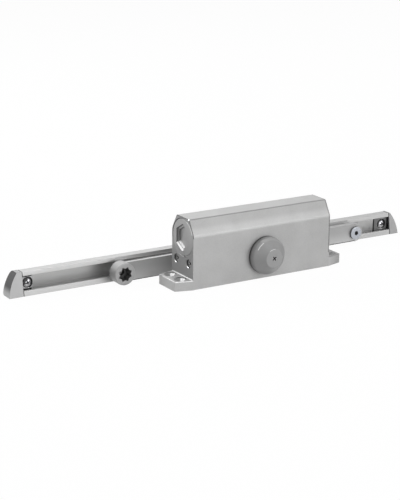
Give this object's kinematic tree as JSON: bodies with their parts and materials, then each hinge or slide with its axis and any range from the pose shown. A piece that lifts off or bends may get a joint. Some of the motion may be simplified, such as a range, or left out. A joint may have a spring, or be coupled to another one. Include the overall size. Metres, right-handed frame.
{
  "type": "slide arm door closer",
  "caption": "Slide arm door closer: rack-and-pinion closer body with screw-down flanges, flat arm with a double-square socket, and a slide track with shoe, end caps and screws.",
  "frame": {"origin": "centre of the closer body's four fixing holes, on its mounting face", "axes": "+X along the closer body and the track, +Y from the closer body to the track, +Z out of the mounting face, away from the door"},
  "size_m": [0.4362, 0.0896, 0.064],
  "materials": {
    "body_paint": "satin silver paint",
    "cap_paint": "satin grey paint",
    "arm_paint": "satin silver paint",
    "track_aluminium": "satin anodised",
    "cap_plastic": "satin silver",
    "plug_steel": "turned, satin",
    "valve_steel": "turned",
    "zinc_steel": "bright zinc plated",
    "screw_chrome": "bright plated",
    "dark_steel": "hardened and ground",
    "spring_steel": "oiled",
    "piston_iron": "ground",
    "bearing_steel": "ground",
    "bronze": "plain",
    "seal_rubber": "matt black",
    "shoe_plastic": "moulded",
    "block_zinc": "die cast, plain"
  },
  "bodies": {
    "base": {"closer_body": "body_paint", "end_plug_left": "plug_steel", "end_plug_right": "plug_steel", "plug_ring_left": "seal_rubber", "plug_ring_right": "seal_rubber", "outer_spring": "spring_steel", "inner_spring": "spring_steel", "bearing_front": "bearing_steel", "bearing_rear": "bearing_steel", "bearing_nut_front": "valve_steel", "bearing_nut_rear": "valve_steel", "shaft_seal_front": "seal_rubber", "shaft_seal_rear": "seal_rubber", "track_rail": "track_aluminium", "track_cap_left": "cap_plastic", "track_cap_right": "cap_plastic", "fixing_block_left": "block_zinc", "fixing_block_right": "block_zinc", "fixing_screw_left": "screw_chrome", "fixing_screw_right": "screw_chrome"},
    "spindle": {"spindle": "dark_steel", "spindle_cap": "cap_paint", "cap_screw": "zinc_steel"},
    "piston": {"piston": "piston_iron", "check_ball": "bearing_steel", "ball_retainer": "bronze"},
    "sweep_screw": {"sweep_valve": "valve_steel", "sweep_valve_ring": "seal_rubber"},
    "latch_screw": {"latch_valve": "valve_steel", "latch_valve_ring": "seal_rubber"},
    "shoe": {"slide_shoe": "shoe_plastic", "pivot_screw": "zinc_steel", "pivot_bush": "bronze", "pivot_washer": "zinc_steel"},
    "arm": {"arm": "arm_paint"}
  },
  "joints": [
    {"name": "spindle_turn", "type": "hinge", "parent": "base", "child": "spindle", "pos_m": [0.002, 0, 0.0224], "axis": [0, 1, 0], "range_deg": [0, 160]},
    {"name": "piston_slide", "type": "slide", "parent": "base", "child": "piston", "axis": [1, 0, 0], "range_m": [0, 0.02513], "stiffness_N_per_m": 300, "springref_m": -0.006, "deforming": ["outer_spring", "inner_spring"]},
    {"name": "sweep_valve_turn", "type": "hinge", "parent": "base", "child": "sweep_screw", "pos_m": [-0.07, 0.0108, 0.023], "axis": [1, 0, 0], "range_deg": [-360, 360]},
    {"name": "latch_valve_turn", "type": "hinge", "parent": "base", "child": "latch_screw", "pos_m": [-0.07, -0.0108, 0.023], "axis": [1, 0, 0], "range_deg": [-360, 360]},
    {"name": "shoe_slide", "type": "slide", "parent": "base", "child": "shoe", "axis": [1, 0, 0], "range_m": [-0.3315, 0.0172]},
    {"name": "arm_pivot", "type": "hinge", "parent": "shoe", "child": "arm", "pos_m": [0.144, 0.033, 0.01155], "axis": [0, 1, 0], "continuous": true}
  ],
  "couplings": [
    {"joint": "spindle_turn", "follows": "piston_slide", "rad_per_m": 111.11}
  ]
}
